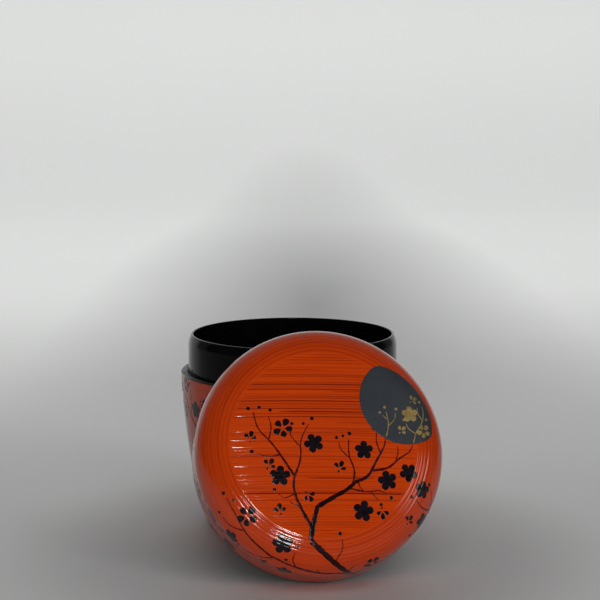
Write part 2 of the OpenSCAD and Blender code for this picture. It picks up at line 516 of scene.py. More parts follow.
# Lacquer of the twigs: black on the thick ones, and maroon where a thin stroke lets the red ground through
TWIG = material_of("branch_lacquer", grainy(
    (900.0, 3.0, 0.5),
    lambda add, place, grain: sum_of(add, point_value(add, "thin"), grain, 0.35),
    [(0.12, (0.010, 0.0015, 0.0015)), (0.50, (0.036, 0.0022, 0.0016)), (1.0, (0.105, 0.0040, 0.0016))],
    (0.10, 0.22), 0.000006, {"Specular IOR Level": 0.26}))
# Black lacquer of the blossoms and buds, with a blue cast and a slightly uneven gloss
PETAL = material_of("blossom_lacquer", grainy(
    (800.0, 3.0, 0.5), lambda add, place, grain: grain,
    [(0.3, (0.0040, 0.0022, 0.0040)), (0.75, (0.0090, 0.0055, 0.0080))],
    (0.08, 0.18), 0.000005, {"Specular IOR Level": 0.30}))


# Turned pieces. First, how far their sharp corners are eased

FOOT_EASE, COLLAR_EASE, LIP_EASE, BAND_EASE, RIM_EASE, COAT_EASE = 0.25, 0.1, 0.22, 0.18, 0.25, 0.12


def make_cup():
    """The cup's wood, lining and collar, each an outline turned round the upright axis."""
    foot_r, inside = HEEL_C[0] - BOND, BODY_WALL - LINING_OUT
    corners = np.concatenate([
        [[0, 0], [foot_r, 0], [foot_r, FOOT_H + CORE_IN]], cup_curve(CORE_IN, LEDGE_Z)[1:],
        [[COLLAR_R + BOND, LEDGE_Z], [COLLAR_R + BOND, SEAT_Z]],
        cup_curve(inside, SEAT_Z)[::-1], [[0, FOOT_H + inside]]])
    wood = turned_bowl(eased(corners, {1: FOOT_EASE}), upright)
    make_piece("cup_wood", *wood, WOOD, "body", "primed_wood", "body_core")

    inner, top = BODY_WALL - LINING_T, SEAT_Z - BOND
    lining = np.concatenate([[[0, FOOT_H + inner]], cup_curve(inner, top),
                             cup_curve(BODY_WALL, top)[::-1], [[0, FOOT_H + BODY_WALL]]])
    make_piece("cup_lining", *turned_bowl(lining, upright), BLACK, "body", "black_lacquer", "body_lining")

    lip_middle = np.array([COLLAR_R - LIP_ARC_R, LIP_Z - LIP_CURVE_H])
    lip = arc(lip_middle, LIP_ARC_R, 0, math.asin(LIP_CURVE_H / LIP_ARC_R), 14)
    corners = np.concatenate([
        [[COLLAR_BORE, SEAT_Z + BOND], [COLLAR_R, SEAT_Z + BOND], [COLLAR_R, LEDGE_Z]],
        lip, [[COLLAR_BORE, LIP_Z]]])
    outline = eased(corners, {0: COLLAR_EASE, 1: COLLAR_EASE, -2: LIP_EASE, -1: LIP_EASE})
    ring = turned(fine_steps(outline, 1.0), upright)
    make_piece("collar_ring", *ring, BLACK, "body", "black_lacquer", "collar")


def brush_place(turn, length):
    """Places along and across a brush stroke that goes round a coat."""
    return np.stack([turn * CADDY_R, length + 0.0 * turn], -1)


def grid_places(turn, length):
    """Places on the stroke of each face's corners, for a grid between these turns and these lengths."""
    i, j = np.meshgrid(np.arange(len(length) - 1), np.arange(len(turn) - 1), indexing="ij")
    corners = ((0, 0), (0, 1), (1, 1), (1, 0))
    return np.stack([brush_place(turn[j + dj], length[i + di]) for di, dj in corners], -2).reshape(-1, 4, 2)


# Painted shade over the whole cup coat, which makes it darker than the cap's, and what its sharp top edge
# adds, where the coat is thin and dark
CUP_PAINTED_SHADE, EDGE_DARK = 0.35, 2.2


def make_cup_coat():
    """The cup's red coat: its outside follows the side and the heel, raised and sunk by the brush marks, and
    its inside lies on the wood. A painted shade darkens the whole of its colour."""
    turns, step = 360, 0.27
    drop_end = SIDE_ARC_R * (math.asin(-SIDE_RISE / SIDE_ARC_R) - HEEL_END)
    drop = np.linspace(COAT_EASE, drop_end, int(drop_end / step))
    drops, around = np.meshgrid(drop, all_round(turns), indexing="ij")
    raise_, dark = cup_marks(drops, around)
    side = on_cup(drops, around, raise_ * smooth_step(0.1, 1.0, drops))
    heel = arc(HEEL_C, HEEL_R, HEEL_END, -math.pi / 2, 40)[1:]
    inside = cup_curve(COAT_T, LEDGE_Z - COAT_EASE, (20, 24))
    top = [[CADDY_R - COAT_T + COAT_EASE, LEDGE_Z], [CADDY_R - COAT_EASE, LEDGE_Z]]
    rest = np.concatenate([heel, inside, top])
    points = np.concatenate([side, turned(rest, upright, turns)[0]])
    stretches = np.linalg.norm(np.diff(rest, axis=0, prepend=heel[:1]), axis=1)
    length = np.concatenate([drop, drop_end + np.cumsum(stretches), drop[:1]])
    uv = grid_places(FULL_TURN * np.arange(turns + 1) / turns, length)
    dark = dark + EDGE_DARK * (1 - smooth_step(0.1, 0.5, drops))
    # Painted shade: the tone added here darkens the whole coat, as if the cup stood in shade.
    shade = CUP_PAINTED_SHADE + np.concatenate([dark, np.zeros((len(rest), turns))])
    shade[-len(top):] = EDGE_DARK
    make_piece("cup_coat", points, [grid_faces(len(points), turns, close_rows=True)], RED, "body",
               "red_lacquer", "body_coat", uv=uv, values={"streak_and_shade": shade})


def make_cap():
    """The cap's wood with its bare rim edge, and its lining, each an outline turned round the cap's axis."""
    outer, inner = cap_curve(CORE_IN, S_RIM - RIM_BAND), cap_curve(LID_WALL - LINING_OUT, S_RIM)[::-1]
    corners = np.concatenate([outer, [[CADDY_R, RIM_BAND], [CADDY_R, 0]], inner])
    n = len(outer)
    outline = eased(corners, {n: BAND_EASE, n + 1: RIM_EASE, n + 2: RIM_EASE})
    make_piece("cap_wood", *turned_bowl(outline, lean_cap), WOOD, "lid", "primed_wood", "lid_core")
    lining = np.concatenate([cap_curve(LID_WALL - LINING_T, S_RIM), cap_curve(LID_WALL, S_RIM)[::-1]])
    make_piece("cap_lining", *turned_bowl(lining, lean_cap), BLACK, "lid", "black_lacquer", "lid_lining")


# Added to the lengths on the shoulder's stroke, so that its bristle lines don't repeat the crown's
SHOULDER_AT = 100.0


def halved(fine, coarse, fine_turn, coarse_turn, fine_s, coarse_s):
    """Triangles, and their corners' places on the stroke, between a ring and one with half as many points."""
    k = np.arange(len(coarse))
    rings = {"fine": (np.append(fine, fine[0]), brush_place(fine_turn, SHOULDER_AT + fine_s)),
             "coarse": (np.append(coarse, coarse[0]), brush_place(coarse_turn, SHOULDER_AT + coarse_s))}
    trios = [(("fine", 2 * k), ("coarse", k), ("fine", 2 * k + 1)),
             (("fine", 2 * k + 1), ("coarse", k), ("coarse", k + 1)),
             (("fine", 2 * k + 1), ("coarse", k + 1), ("fine", 2 * k + 2))]
    faces, places = ([np.stack([rings[ring][part][n] for ring, n in trio], 1) for trio in trios]
                     for part in (0, 1))
    return np.concatenate(faces), np.concatenate(places)


def make_cap_coat():
    """The cap's red coat, one closed mesh. The crown is a grid whose rows run along the straight brush
    lines, with x = u times the half chord and y = the ring's radius times the sine of the row's angle, so
    that its edge is the ring. From there the points round the axis are halved twice, and a grid goes down
    the shoulder and the wall and comes back along the inside of the coat."""
    rows, columns, turns = 720, 36, 360
    angle = np.linspace(-math.pi / 2, math.pi / 2, rows + 1)[:, None]
    u = np.sin(np.linspace(-math.pi / 2, math.pi / 2, columns + 1))
    plan = np.stack([S_RING * np.cos(angle) * u, S_RING * np.sin(angle) + 0 * u], -1)
    flat = plan.reshape(-1, 2)[columns:-columns]
    s, turn = np.hypot(*flat.T), np.arctan2(flat[:, 1], flat[:, 0]) + CROWN_BRUSH_TURN
    raise_, crown_dark = cap_marks(s, turn)
    crown = on_cap(s, turn, raise_)
    last = len(flat) - 1
    number = 1 + np.arange(last - 1).reshape(rows - 1, columns + 1)
    quads = grid_faces(rows - 1, columns + 1, 1, close_columns=False)
    low = np.stack([np.zeros(columns, int), number[0, 1:], number[0, :-1]], -1)
    high = np.stack([number[-1, :-1], number[-1, 1:], np.full(columns, last)], -1)
    ring = np.concatenate([[0], number[:, -1], [last], number[::-1, 0]])

    ring_turn, middle_turn, wall_turn = (CROWN_BRUSH_TURN - math.pi / 2 + FULL_TURN * np.arange(n + 1) / n
                                         for n in (2 * rows, rows, turns))
    middle_s = np.full(rows, S_RING + 0.08)
    raise_, middle_dark = cap_marks(middle_s, middle_turn[:-1])
    middle = on_cap(middle_s, middle_turn[:-1], raise_)
    out_s = np.concatenate([np.arange(S_RING + 0.2, S_WALL + 2, 0.13),
                            np.arange(S_WALL + 2.2, S_COAT_END - 0.3, 0.26),
                            [S_COAT_END - 0.12, S_COAT_END - 0.04]])
    s, turn = np.meshgrid(out_s, wall_turn[:-1], indexing="ij")
    raise_, wall_dark = cap_marks(s, turn)
    outside = on_cap(s, turn, raise_ * smooth_step(0, 0.8, S_COAT_END - s))
    in_s = np.concatenate([[S_COAT_END], np.linspace(S_COAT_END, S_WALL, 3),
                           np.linspace(S_WALL, S_RING, 8)[1:], np.linspace(S_RING, 0, 5)[1:-1]])
    s, turn = np.meshgrid(in_s, wall_turn[:-1], indexing="ij")
    sink = np.full(s.shape, -COAT_T)
    sink[0] = -0.1
    pole = on_cap(np.zeros(1), np.zeros(1), -COAT_T)
    points = [crown, middle, outside.reshape(-1, 3), on_cap(s, turn, sink).reshape(-1, 3), pole]

    first, depth = len(crown) + rows, len(out_s) + len(in_s)
    middle_ring, wall_ring = len(crown) + np.arange(rows), first + np.arange(turns)
    join_a, uv_a = halved(ring, middle_ring, ring_turn, middle_turn, S_RING, middle_s[0])
    join_b, uv_b = halved(middle_ring, wall_ring, middle_turn, wall_turn, middle_s[0], out_s[0])
    wall = grid_faces(depth, turns, first)[:, ::-1]
    fan = fan_faces(first + depth * turns, wall_ring + (depth - 1) * turns)
    length = SHOULDER_AT + np.concatenate([out_s, 2 * S_COAT_END - in_s])
    uv_wall = grid_places(wall_turn, length)[:, ::-1]
    uv = [*flat[quads], *flat[low], *flat[high], *uv_a, *uv_b, *uv_wall, *np.zeros((turns, 3, 2))]
    shade = np.concatenate([crown_dark, middle_dark, wall_dark.ravel(), np.zeros(s.size + 1)])
    make_piece("cap_coat", np.concatenate(points), [quads, low, high, join_a, join_b, wall, fan], RED, "lid",
               "red_lacquer", "lid_coat", uv=uv, values={"streak_and_shade": shade})


# Moon: the share of the brush marks that shows through it, the power that rounds its corners (less for a
# rounder one), and the lifts of its top and of its underside, that is let into the coat
MOON_MARKS, MOON_CORNER = 0.3, 16.0
MOON_TOP, MOON_UNDER = BOND + MOON_T, -0.05


def make_moon():
    """The silver moon: rays from a point inside its outline to the nearer of its two arcs, eased into each
    other where they meet, and cut into rings that lie on the cap and drop to the coat at the edge."""
    rays, rings, under = 240, 40, 6
    tilt = unit(MOON_TURN + MOON_TILT)
    round_c = MOON_OUT * unit(MOON_TURN)
    flat_c = round_c - MOON_EDGE_IN * tilt
    inner = round_c - 3.5 * tilt
    ray = unit(all_round(rays))

    def reach(middle, radius):
        """Distance from the inner point along each ray to a circle."""
        back = (inner - middle) @ ray.T
        return -back + np.sqrt(back**2 - (inner - middle) @ (inner - middle) + radius**2)

    nearer = reach(round_c, MOON_R)**-MOON_CORNER + reach(flat_c, MOON_EDGE_R)**-MOON_CORNER
    spokes = (nearer**(-1 / MOON_CORNER))[:, None] * ray
    share = np.concatenate([np.linspace(0.02, 0.985, rings), [0.994, 1.0, 0.999],
                            np.linspace(0.97, 0.03, under)])
    lift = np.concatenate([np.full(rings, MOON_TOP), [BOND + 0.8 * MOON_T, BOND, 0.01],
                           np.full(under, MOON_UNDER)])
    x, y = np.moveaxis(inner + share[:, None, None] * spokes, -1, 0)
    radius, turn = np.hypot(x, y), np.arctan2(y, x)
    on_shoulder = np.arcsin(np.clip((radius - SHOULDER_X) / SHOULDER_R, -1, 1)) - CROWN_END
    s = np.where(radius < CROWN_R * math.sin(CROWN_END), CROWN_R * np.arcsin(np.minimum(radius / CROWN_R, 1)),
                 S_RING + SHOULDER_R * on_shoulder)
    raise_, _ = cap_marks(s, turn)
    grid = on_cap(s, turn, lift[:, None] + MOON_MARKS * raise_)
    poles = on_cap(np.full(2, np.hypot(*inner)), np.full(2, math.atan2(inner[1], inner[0])),
                   np.array([MOON_TOP, MOON_UNDER]))
    make_piece("moon_disc", np.concatenate([grid.reshape(-1, 3), poles]), closed_faces(len(share), rays),
               SILVER, "lid", "silver_lacquer", "moon")


# Painted twigs and blossoms. A drawing is flat, x to the right and y up, and one of the next three gives the
# function that lays it, with the lifts of its points, over the brush marks of the cap or the cup

def on_marks(s, turn, lift, base=0.0):
    """Points over the brush marks of the cap, or over the moon there, whose top is at the lift base and
    shows only a share of the marks."""
    share = MOON_MARKS if base else 1.0
    return on_cap(s, turn, base + lift + share * cap_marks(s, turn)[0])


def over_crown(base=0.0):
    """Lays a drawing with its middle on the crown's: lengths and directions from the middle stay."""
    def lay(plan, lift):
        x, y = plan[..., 0], plan[..., 1]
        return on_marks(np.hypot(x, y), np.arctan2(y, x), lift, base)
    return lay


def round_cap(s, turn):
    """Lays a small drawing on the cap's shoulder or wall, its up side towards the crown."""
    radius = float(cap_section(s)[0])
    return lambda plan, lift: on_marks(s - plan[..., 1], turn - plan[..., 0] / radius, lift)


def round_cup(drop, turn):
    """Lays a small drawing on the cup's side, its up side towards the ledge."""
    def lay(plan, lift):
        drops, around = drop - plan[..., 1], turn + plan[..., 0] / CADDY_R
        return on_cup(drops, around, lift + cup_marks(drops, around)[0])
    return lay


def corner_cut(path, times=2):
    """A line of points with each corner cut twice, at a quarter and three quarters of each stretch."""
    path = np.asarray(path, float)
    for _ in range(times):
        quarter = 0.75 * path[:-1] + 0.25 * path[1:]
        three = 0.25 * path[:-1] + 0.75 * path[1:]
        path = np.concatenate([path[:1], np.stack([quarter, three], 1).reshape(-1, 2), path[-1:]])
    return path


# Section of a stroke: places across it and shares of its rise. Then the length of a step along it, its rise
# for its half width and the limits of that, and the width under which the ground starts to show through
STROKE_ACROSS = np.array([-1.0, -0.88, -0.45, 0.0, 0.45, 0.88, 1.0, 0.0])
STROKE_RISE = np.array([-0.4, 0.85, 1.0, 1.0, 1.0, 0.85, -0.4, -0.8])
STROKE_STEP, STROKE_LIFT, LIFT_LIMITS = 0.28, 0.09, (0.032, 0.055)
OPAQUE_WIDTH, THIN_RANGE = 1.0, 0.8


def lay_stroke(lay, wide, narrow, path):
    """One stroke of the brush: a low crowned section carried along a line with its corners cut, tapering
    from wide to narrow, a little uneven by two sines, with half-round tips. Gives its points and faces, and
    how thin it is at each point."""
    line = corner_cut(path)
    run = np.concatenate([[0], np.cumsum(np.linalg.norm(np.diff(line, axis=0), axis=1))])
    d = np.linspace(0, 1, max(int(run[-1] / STROKE_STEP), 6))
    near = 0.3 * d[:2].mean()
    d = np.sort(np.append(d, [near, 1 - near]))
    at = d * run[-1]
    middle = np.stack([np.interp(at, run, line[:, k]) for k in (0, 1)], -1)
    along = np.gradient(middle, at, axis=0)
    along /= np.linalg.norm(along, axis=1, keepdims=True)
    side = np.stack([-along[:, 1], along[:, 0]], -1)
    x, y = path[0]
    uneven = 1 + 0.10 * np.sin(2.1 * at + 7 * x) + 0.06 * np.sin(5.3 * at + 3 * y)
    half = 0.5 * (wide + (narrow - wide) * d) * uneven
    tip = np.sqrt(1 - (1 - np.clip(np.minimum(at, run[-1] - at) / half, 0, 1))**2)
    half = (half * np.maximum(tip, 0.08))[:, None]
    plan = middle[:, None] + (half * STROKE_ACROSS)[..., None] * side[:, None]
    lift = STROKE_RISE * np.clip(STROKE_LIFT * half, *LIFT_LIMITS)
    corners = np.arange(len(STROKE_ACROSS))
    caps = np.stack([corners, (len(d) - 1) * len(corners) + corners[::-1]])
    thin = np.clip((OPAQUE_WIDTH - 2 * half) / THIN_RANGE, 0, 1) + 0 * STROKE_ACROSS
    return lay(plan, lift).reshape(-1, 3), [grid_faces(len(d), len(corners))[:, ::-1], caps], thin.ravel()


# Domes of lacquer: their rise, and the shares of the outline and of the rise at each ring of a blossom and of
# a drop or bud, from the foot in the coat to the top
PAINT_RISE, PAINT_FOOT = 0.045, -0.6
BLOSSOM_SHARE = np.array([0.995, 1.0, 0.965, 0.90, 0.80, 0.68, 0.55, 0.42, 0.28, 0.14])
BLOSSOM_HEIGHT = np.array([PAINT_FOOT, 0.5, 0.9, 0.98, 1.0, 1.0, 1.0, 0.98, 0.95, 0.95])
DAB_SHARE = np.array([0.99, 1.0, 0.9, 0.66, 0.36])
DAB_HEIGHT = np.array([PAINT_FOOT, 0.5, 0.88, 0.98, 1.0])
# Width of an open blossom for its size, and the depth, width and inner end of the furrows between its petals
OPEN_SIZE, FURROW_DEPTH, FURROW_WIDTH, FURROW_END = 0.56, 0.18, 0.13, 0.3
# Drops that make a blossom without a middle: their directions, half lengths and widths. Then how far out they
# lie for their length, and how much wider their outer ends are
HALF_OPEN_FAN = (np.radians([-66.0, -6.0, 52.0, 180.0]), np.array([0.19, 0.25, 0.21, 0.10]), 0.66)
LOOSE_FAN = (np.radians([0.0, 70.0, 146.0, 214.0, 288.0]), np.array([0.22, 0.20, 0.21, 0.19, 0.20]), 0.80)
DROP_OUT, DROP_FULL = 1.62, 0.40


def domes(outline, share, height):
    """Drawing and lifts of low domes from their outlines, (domes, points, 2) about each middle: each ring is
    the outline drawn in by its share, at its own height."""
    plan = outline[:, None] * share[:, None, None]
    return plan, PAINT_RISE * height[:, None] + 0 * plan[..., 0]


def lay_domes(lay, plan, lift, top=1.0):
    """Points and faces of domes: the rings of each, closed by a pole below and one on top."""
    count, rings, steps = lift.shape
    poles = np.repeat(plan.mean((1, 2))[:, None], 2, 1)
    ends = PAINT_RISE * np.array([PAINT_FOOT, top]) + np.zeros((count, 2))
    points = np.concatenate([lay(plan, lift).reshape(count, -1, 3), lay(poles, ends)], 1)
    return joined([(dome, closed_faces(rings, steps)) for dome in points])


def petal_outline(points=70, apart=0.63, petal=0.372, core=0.5):
    """Outline of a five-petalled blossom of radius 1: along each direction the far side of the circle of
    the nearest petal, or the core where the circles leave a gap. Also gives the angles from that petal."""
    angle = all_round(points)
    off = np.mod(angle + math.pi / 5, FULL_TURN / 5) - math.pi / 5
    far = apart * np.cos(off) + np.sqrt(np.maximum(petal**2 - (apart * np.sin(off))**2, 0))
    return np.maximum(far, core)[:, None] * unit(angle), off


def turned_plan(plan, turn):
    """A drawing turned about its middle."""
    c, s = np.cos(turn), np.sin(turn)
    return np.stack([c * plan[..., 0] - s * plan[..., 1], s * plan[..., 0] + c * plan[..., 1]], -1)


def lay_open(lay, x, y, across, turn):
    """An open blossom: a five-petalled dome with a furrow, a bell across it, between petals."""
    outline, off = petal_outline()
    outline = turned_plan(outline * OPEN_SIZE * across, math.radians(turn))
    plan, lift = domes(outline[None], BLOSSOM_SHARE, BLOSSOM_HEIGHT)
    furrow = FURROW_DEPTH * PAINT_RISE * np.exp(-((np.abs(off) - math.pi / 5) / FURROW_WIDTH)**2)
    reach = np.where(BLOSSOM_SHARE > FURROW_END, np.clip(BLOSSOM_HEIGHT, 0, 1), 0)[:, None]
    return lay_domes(lay, plan + [x, y], lift - furrow * reach, BLOSSOM_HEIGHT[-1])


def lay_drops(lay, fan, share, width, x, y, across, turn):
    """A blossom of drops, each an oval that is wider at its outer end, fanned out round an open middle."""
    angle = all_round(26)
    drop = np.stack([np.cos(angle), width * np.sin(angle) * (1 + DROP_FULL * np.cos(angle))], -1)
    long = across * share
    plan, lift = domes(drop * long[:, None, None], DAB_SHARE, DAB_HEIGHT)
    plan = plan + np.stack([DROP_OUT * long, 0 * long], -1)[:, None, None]
    plan = turned_plan(plan, (fan + math.radians(turn))[:, None, None]) + [x, y]
    return lay_domes(lay, plan, lift)


def lay_buds(lay, buds):
    """Round buds, each a single small dome."""
    spots = np.array(buds)
    plan, lift = domes(unit(all_round(22)) * (spots[:, 2] / 2)[:, None, None], DAB_SHARE, DAB_HEIGHT)
    return lay_domes(lay, plan + spots[:, None, None, :2], lift)


def paint(name, body, drawings, twig, petal):
    """Twigs, blossoms and buds as three pieces. A drawing comes after the function that lays it, and has
    strokes, open blossoms, loose ones of five drops, half-open ones of three with a dab, and buds."""
    strokes = [lay_stroke(lay, *stroke) for lay, (paths, *_) in drawings for stroke in paths]
    thin = np.concatenate([stroke[2] for stroke in strokes])
    twigs = joined([stroke[:2] for stroke in strokes])
    make_piece(name + "_twigs", *twigs, twig, body, values={"thin": thin})
    blossoms = []
    for lay, (_, open_, loose, half_open, _) in drawings:
        blossoms += [lay_open(lay, *spot) for spot in open_]
        blossoms += [lay_drops(lay, *LOOSE_FAN, *spot) for spot in loose]
        blossoms += [lay_drops(lay, *HALF_OPEN_FAN, *spot) for spot in half_open]
    make_piece(name + "_blossoms", *joined(blossoms), petal, body)
    buds = [lay_buds(lay, spots) for lay, (*_, spots) in drawings]
    make_piece(name + "_buds", *joined(buds), petal, body)


# The drawing over the cap: a trunk that rises from the lower wall, bends, and reaches for the moon, with
# a branch to the left. Strokes are a wide end, a narrow end and points; blossoms x, y, size and turn.
CAP_STROKES = [
    (1.75, 1.45, [(11.0, -43.5), (6.2, -36.8), (0.2, -30.6), (-5.0, -25.4)]),
    (1.45, 1.20, [(-5.0, -25.4), (-3.9, -20.4), (-2.6, -16.4)]),
    (1.30, 0.95, [(-2.8, -16.9), (1.8, -14.4), (5.2, -12.8), (8.0, -10.4)]),
    (0.95, 0.60, [(7.4, -10.9), (11.0, -9.6), (13.0, -6.0), (14.6, -3.6)]),
    (0.66, 0.29, [(14.3, -4.0), (15.8, -1.6), (16.2, 0.6)]),
    (0.54, 0.26, [(14.6, -3.6), (13.6, -0.6), (13.9, 2.0)]),
    (0.74, 0.36, [(12.0, -8.0), (16.4, -7.6), (19.6, -4.8), (22.4, -3.4), (23.4, -1.5)]),
    (0.46, 0.24, [(18.2, -6.2), (19.4, -3.2), (19.2, -1.6)]),
    (0.66, 0.29, [(6.6, -11.8), (7.6, -8.0), (6.0, -3.8), (6.4, 0.4)]),
    (0.43, 0.24, [(6.2, -4.6), (4.0, -2.2), (3.7, -0.4)]),
    (0.55, 0.26, [(5.6, -12.5), (10.6, -13.6), (13.8, -13.0), (15.4, -14.4)]),
    (0.38, 0.24, [(11.2, -13.5), (13.2, -15.8)]),
    (0.95, 0.62, [(-4.4, -22.2), (-7.4, -16.6), (-8.8, -12.2), (-8.2, -8.2)]),
    (0.72, 0.31, [(-8.3, -8.8), (-11.4, -3.4), (-14.0, 0.6), (-17.2, 4.0), (-18.0, 8.6)]),
    (0.62, 0.26, [(-8.3, -9.0), (-6.2, -4.2), (-6.4, 0.4), (-3.8, 4.8)]),
    (0.46, 0.24, [(-11.6, -3.0), (-15.0, -3.6), (-17.6, -2.4)]),
    (0.46, 0.24, [(-14.4, 1.0), (-13.4, 4.4), (-14.2, 7.4)]),
    (0.41, 0.24, [(-6.4, -1.2), (-8.8, 1.8), (-8.6, 3.4)]),
    (0.41, 0.24, [(-8.6, -13.4), (-11.4, -14.6), (-12.6, -13.2)]),
    (0.43, 0.24, [(1.2, -31.6), (3.4, -27.8), (3.1, -25.4)]),
    (0.95, 0.62, [(6.4, -36.9), (-1.6, -36.2), (-9.4, -33.4), (-16.4, -29.2)]),
    (0.74, 0.34, [(-16.0, -29.5), (-21.6, -23.6), (-24.2, -17.4), (-26.2, -13.4)]),
    (0.48, 0.24, [(-9.0, -33.6), (-10.0, -30.4), (-9.0, -28.4)]),
    (0.48, 0.24, [(-15.2, -30.2), (-20.4, -31.0), (-24.4, -28.6)]),
    (0.46, 0.24, [(-22.4, -22.2), (-26.4, -21.2), (-28.4, -18.4)]),
    (0.55, 0.26, [(9.4, -41.2), (14.6, -37.4), (17.8, -36.2), (20.2, -33.0)]),
    (0.41, 0.24, [(15.6, -37.0), (16.8, -33.6)]),
    (0.80, 0.50, [(40.0, -22.6), (34.2, -21.4), (29.2, -18.6)]),
    (0.60, 0.26, [(29.6, -18.9), (25.8, -18.2), (23.4, -15.6)]),
    (0.53, 0.26, [(32.6, -20.8), (29.4, -24.2), (25.0, -25.2)]),
    (0.43, 0.24, [(30.0, -19.2), (30.2, -15.6), (28.6, -13.0)]),
    (0.60, 0.28, [(5.4, -35.9), (6.5, -34.4), (6.9, -33.2)]),
    (0.50, 0.24, [(-2.2, -36.1), (-3.0, -35.0), (-3.2, -33.9)]),
    (0.50, 0.24, [(-7.5, -16.4), (-8.8, -16.2), (-9.8, -15.2)]),
    (0.46, 0.24, [(8.2, -10.5), (8.4, -12.2), (9.4, -13.2)]),
]
CAP_OPEN = [
    (-12.0, -8.6, 4.8, 12), (-2.8, -0.4, 4.6, 40), (9.0, -18.4, 4.9, 5),
    (15.9, -10.7, 4.7, 30), (21.7, -8.7, 4.4, 50), (10.2, -2.6, 4.4, 15), (-12.2, -26.0, 4.9, 20),
    (-13.0, -36.4, 4.5, 5), (27.4, -21.9, 4.5, 35), (25.6, -13.2, 4.2, 8), (-27.6, -24.8, 4.5, 30),
]
CAP_LOOSE = [(-21.0, -18.6, 5.0, 48), (12.6, -33.6, 4.6, 60), (-10.6, 3.9, 4.8, 62)]
CAP_HALF_OPEN = [
    (-14.9, -6.0, 3.6, 60), (3.4, -7.4, 3.5, 70), (-5.2, -13.6, 3.4, -50), (14.0, -18.4, 3.5, -80),
    (-19.2, 1.4, 3.4, 80), (-12.4, -17.8, 3.4, 100), (17.6, -35.0, 3.2, -30), (-18.0, -33.4, 3.3, 150),
    (21.4, -21.6, 3.2, 60),
]
CAP_BUDS = [
    (-19.3, 9.6, 1.0), (-16.4, 9.8, 0.9), (-2.9, 6.2, 1.0), (-5.2, 4.9, 0.8), (6.7, 1.9, 1.0),
    (4.9, 1.3, 0.8), (-13.6, 8.9, 0.9), (-18.9, -1.9, 1.0), (16.6, -15.2, 1.0), (13.8, -16.9, 0.9),
    (2.6, -23.9, 1.0), (13.2, 3.1, 0.9), (-8.2, 5.0, 0.9), (3.2, 0.9, 0.9), (19.6, -0.4, 0.8),
    (-8.6, -26.8, 1.0), (-13.6, -12.1, 0.9), (-26.9, -12.2, 1.0), (-24.2, -14.2, 0.8),
    (-25.6, -27.4, 1.0), (-29.2, -17.2, 0.9), (21.0, -31.8, 1.0), (22.2, -15.0, 0.9),
    (23.6, -25.8, 1.0), (28.0, -11.8, 0.9), (17.4, -32.2, 0.8), (-11.6, -30.6, 0.9),
]

# Gold over the moon: the ends of the twigs that pass in front of it
GOLD_STROKES = [
    (0.34, 0.20, [(16.4, 0.9), (17.4, 4.2), (16.9, 7.6)]),
    (0.28, 0.18, [(17.3, 3.8), (19.2, 5.6), (19.4, 7.2)]),
    (0.28, 0.18, [(17.2, 5.4), (15.9, 6.6)]),
    (0.36, 0.22, [(23.6, -0.9), (24.6, 2.0), (26.6, 4.6), (27.4, 7.6), (27.1, 9.4)]),
    (0.28, 0.18, [(24.5, 1.6), (22.6, 2.8), (22.0, 4.4)]),
    (0.28, 0.18, [(26.8, 5.2), (25.4, 7.2), (25.6, 8.8)]),
]
GOLD_OPEN = [(23.3, 6.9, 4.0, 20)]
GOLD_LOOSE = [(26.8, 2.3, 3.6, 50)]
GOLD_HALF_OPEN = [(24.2, 10.6, 2.8, 40), (20.4, 2.2, 2.8, 50)]
GOLD_BUDS = [(16.6, 8.8, 0.8), (19.7, 8.3, 0.8), (15.2, 7.4, 0.7), (21.5, 5.4, 0.8),
             (26.5, 10.5, 0.8), (28.0, 5.7, 0.7)]

# A spray for the cup's side, and a low one for the cap's wall
SPRAY_STROKES = [
    (0.85, 0.50, [(0.0, -6.0), (-2.2, -1.0), (-6.0, 2.2), (-8.6, 6.4)]),
    (0.52, 0.22, [(-8.3, 6.0), (-12.4, 8.4), (-14.4, 12.2)]),
    (0.46, 0.22, [(-5.8, 2.0), (-4.0, 6.4), (-4.8, 10.4)]),
    (0.46, 0.22, [(-1.8, -1.8), (3.4, 0.6), (6.2, 4.6), (10.4, 6.2)]),
    (0.34, 0.20, [(5.2, 3.2), (4.6, 6.8)]),
    (0.34, 0.20, [(-10.4, 7.2), (-13.6, 5.4)]),
]
SPRAY_OPEN = [(-2.0, 4.6, 4.6, 15), (-11.4, 3.0, 4.5, 40), (7.8, 1.4, 4.4, 60)]
SPRAY_LOOSE = [(-8.4, 11.0, 4.5, 5)]
SPRAY_HALF_OPEN = [(1.6, 7.4, 3.4, -30), (-15.6, 8.6, 3.2, 60)]
SPRAY_BUDS = [(-14.9, 13.6, 1.0), (-5.2, 11.8, 0.9), (11.8, 6.6, 1.0), (4.4, 8.2, 0.8),
              (-14.8, 4.6, 0.9), (9.4, 7.8, 0.8)]
LOW_STROKES = [
    (0.70, 0.40, [(12.0, -2.6), (5.0, -1.4), (-1.0, 0.8), (-6.2, 0.2)]),
    (0.42, 0.22, [(-5.8, 0.3), (-10.0, 2.4), (-13.2, 1.8)]),
    (0.36, 0.20, [(4.2, -1.1), (2.8, 1.8), (3.4, 3.6)]),
    (0.36, 0.20, [(-1.6, 0.8), (-3.8, 3.2)]),
]
LOW_OPEN = [(-0.2, 3.9, 4.0, 10), (-8.4, -1.6, 3.9, 30)]
LOW_LOOSE = [(8.0, 1.6, 4.2, 50)]
LOW_HALF_OPEN = [(-5.6, 3.6, 3.0, 30)]
LOW_BUDS = [(-14.4, 1.6, 0.9), (3.8, 4.8, 0.8), (-10.4, 3.8, 0.8), (11.8, 1.0, 0.9)]

